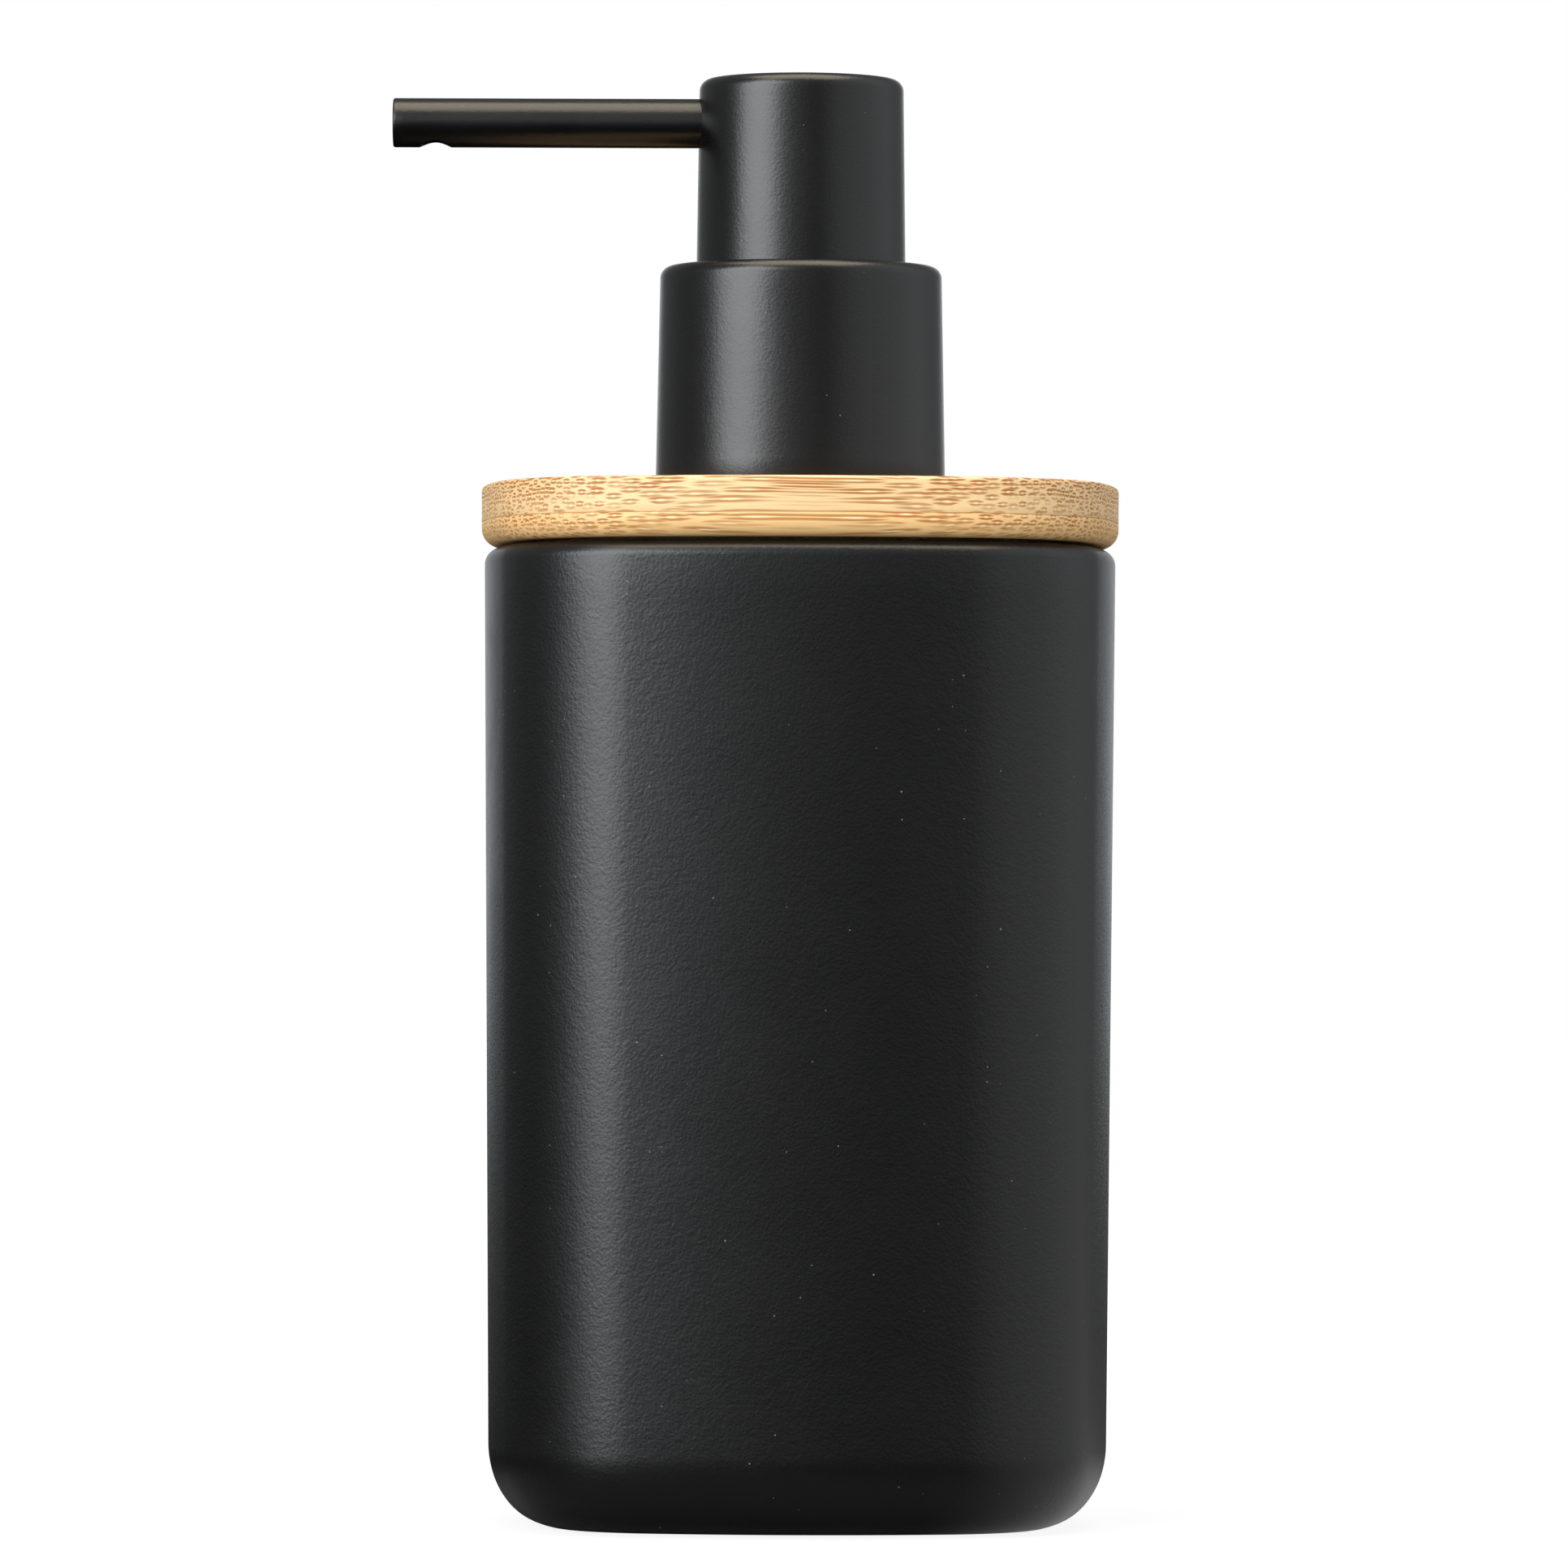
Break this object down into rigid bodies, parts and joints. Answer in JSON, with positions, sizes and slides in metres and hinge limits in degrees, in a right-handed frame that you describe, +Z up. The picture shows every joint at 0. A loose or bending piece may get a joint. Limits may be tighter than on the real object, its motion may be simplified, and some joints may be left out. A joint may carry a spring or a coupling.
{
  "type": "soap pump dispenser",
  "caption": "Rounded-square matt black soap bottle with a bamboo lid and a black screw-on lotion pump that has a straight spout.",
  "frame": {"origin": "centre of the foot pad's underside, on the pump's axis", "axes": "+Z up along the pump's axis, and the spout points along -X"},
  "size_m": [0.0835, 0.0732, 0.1659],
  "materials": {
    "matt_glaze": "matt black glaze with a fine orange peel",
    "bamboo": "oiled laminated bamboo",
    "black_plastic": "satin black moulding",
    "natural_plastic": "undyed polypropylene",
    "soft_polymer": "soft milky polyethylene",
    "silicone": "translucent grey silicone",
    "foam": "black closed-cell foam",
    "steel": "drawn stainless steel"
  },
  "bodies": {
    "bottle": {"bottle_body": "matt_glaze", "base_pad": "foam"},
    "lid": {"bamboo_lid": "bamboo", "lid_plug": "natural_plastic", "lid_seal": "silicone", "neck_insert": "natural_plastic", "neck_washer": "silicone", "lock_nut": "natural_plastic"},
    "pump": {"pump_housing": "natural_plastic", "stem_guide": "natural_plastic", "housing_gasket": "silicone", "dip_tube": "soft_polymer", "ball_retainer": "natural_plastic", "return_spring": "steel"},
    "closure": {"collar_shell": "black_plastic", "closure_cap": "natural_plastic"},
    "plunger": {"stem": "natural_plastic", "stem_valve": "natural_plastic"},
    "piston": {"piston": "soft_polymer"},
    "actuator": {"actuator_head": "black_plastic", "actuator_core": "natural_plastic", "spout_tube": "black_plastic", "spout_end_plug": "black_plastic"},
    "inlet_ball": {"inlet_ball": "steel"}
  },
  "joints": [
    {"name": "lid_lift", "type": "slide", "parent": "bottle", "child": "lid", "axis": [0, 0, 1], "range_m": [0, 0.13]},
    {"name": "pump_lift", "type": "slide", "parent": "lid", "child": "pump", "axis": [0, 0, 1], "range_m": [0, 0.0045]},
    {"name": "closure_turn", "type": "hinge", "parent": "pump", "child": "closure", "pos_m": [0, 0, 0.12], "axis": [0, 0, 1], "range_deg": [0, 540]},
    {"name": "pump_stroke", "type": "slide", "parent": "pump", "child": "plunger", "axis": [0, 0, -1], "range_m": [0, 0.0115], "stiffness_N_per_m": 600, "springref_m": -0.008, "deforming": ["return_spring"]},
    {"name": "piston_float", "type": "slide", "parent": "plunger", "child": "piston", "axis": [0, 0, 1], "range_m": [0, 0.001]},
    {"name": "spout_swivel", "type": "hinge", "parent": "plunger", "child": "actuator", "pos_m": [0, 0, 0.15], "axis": [0, 0, 1], "continuous": true},
    {"name": "ball_lift", "type": "slide", "parent": "pump", "child": "inlet_ball", "axis": [0, 0, 1], "range_m": [0, 0.0015]}
  ],
  "couplings": [
    {"joint": "pump_lift", "follows": "closure_turn", "m_per_rad": 0.00047746}
  ]
}
